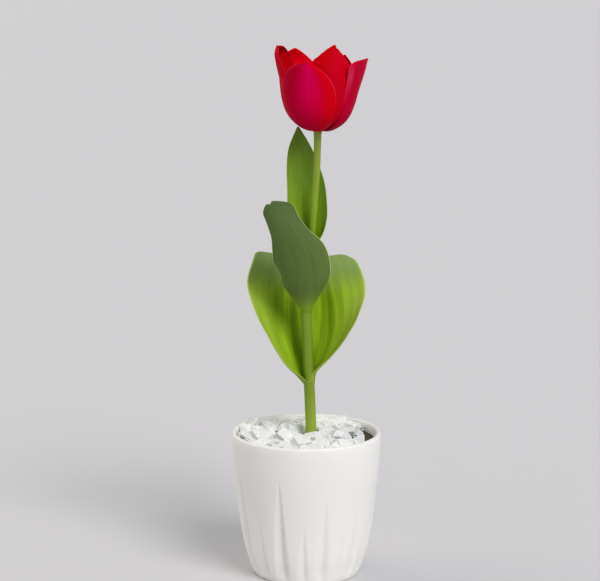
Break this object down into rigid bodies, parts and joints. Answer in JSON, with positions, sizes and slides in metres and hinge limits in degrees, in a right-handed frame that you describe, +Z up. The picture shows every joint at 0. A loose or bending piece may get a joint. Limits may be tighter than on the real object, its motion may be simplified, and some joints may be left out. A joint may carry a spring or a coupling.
{
  "type": "tulip in a pot",
  "caption": "A red tulip bloom on a tall leafy stem, standing in a white glazed fluted pot whose soil is dressed with white marble chips.",
  "frame": {"origin": "centre of the pot's flat underside, on the surface that it stands on", "axes": "+Z up the pot and the stem; the front, which the picture shows, is -Y and +X is to its right"},
  "size_m": [0.104, 0.1524, 0.3711],
  "materials": {
    "glaze": "gloss",
    "earth": "matte",
    "marble": "matte",
    "stalk": "satin",
    "leaf_light": "satin",
    "leaf_dull": "satin",
    "leaf_fresh": "satin",
    "petal_pink": "satin",
    "petal_red": "satin",
    "pistil_green": "satin",
    "pollen": "matte"
  },
  "bodies": {
    "root": {"pot": "glaze", "soil": "earth", "marble_chips": "marble", "stem": "stalk", "lower_leaf": "leaf_light", "middle_leaf": "leaf_dull", "upper_leaf": "leaf_fresh", "tepal_outer_front": "petal_pink", "tepal_outer_right": "petal_pink", "tepal_outer_back": "petal_pink", "tepal_inner_front": "petal_red", "tepal_inner_left": "petal_red", "tepal_inner_back": "petal_red", "pistil": "pistil_green", "stamens": "pollen"}
  },
  "joints": []
}
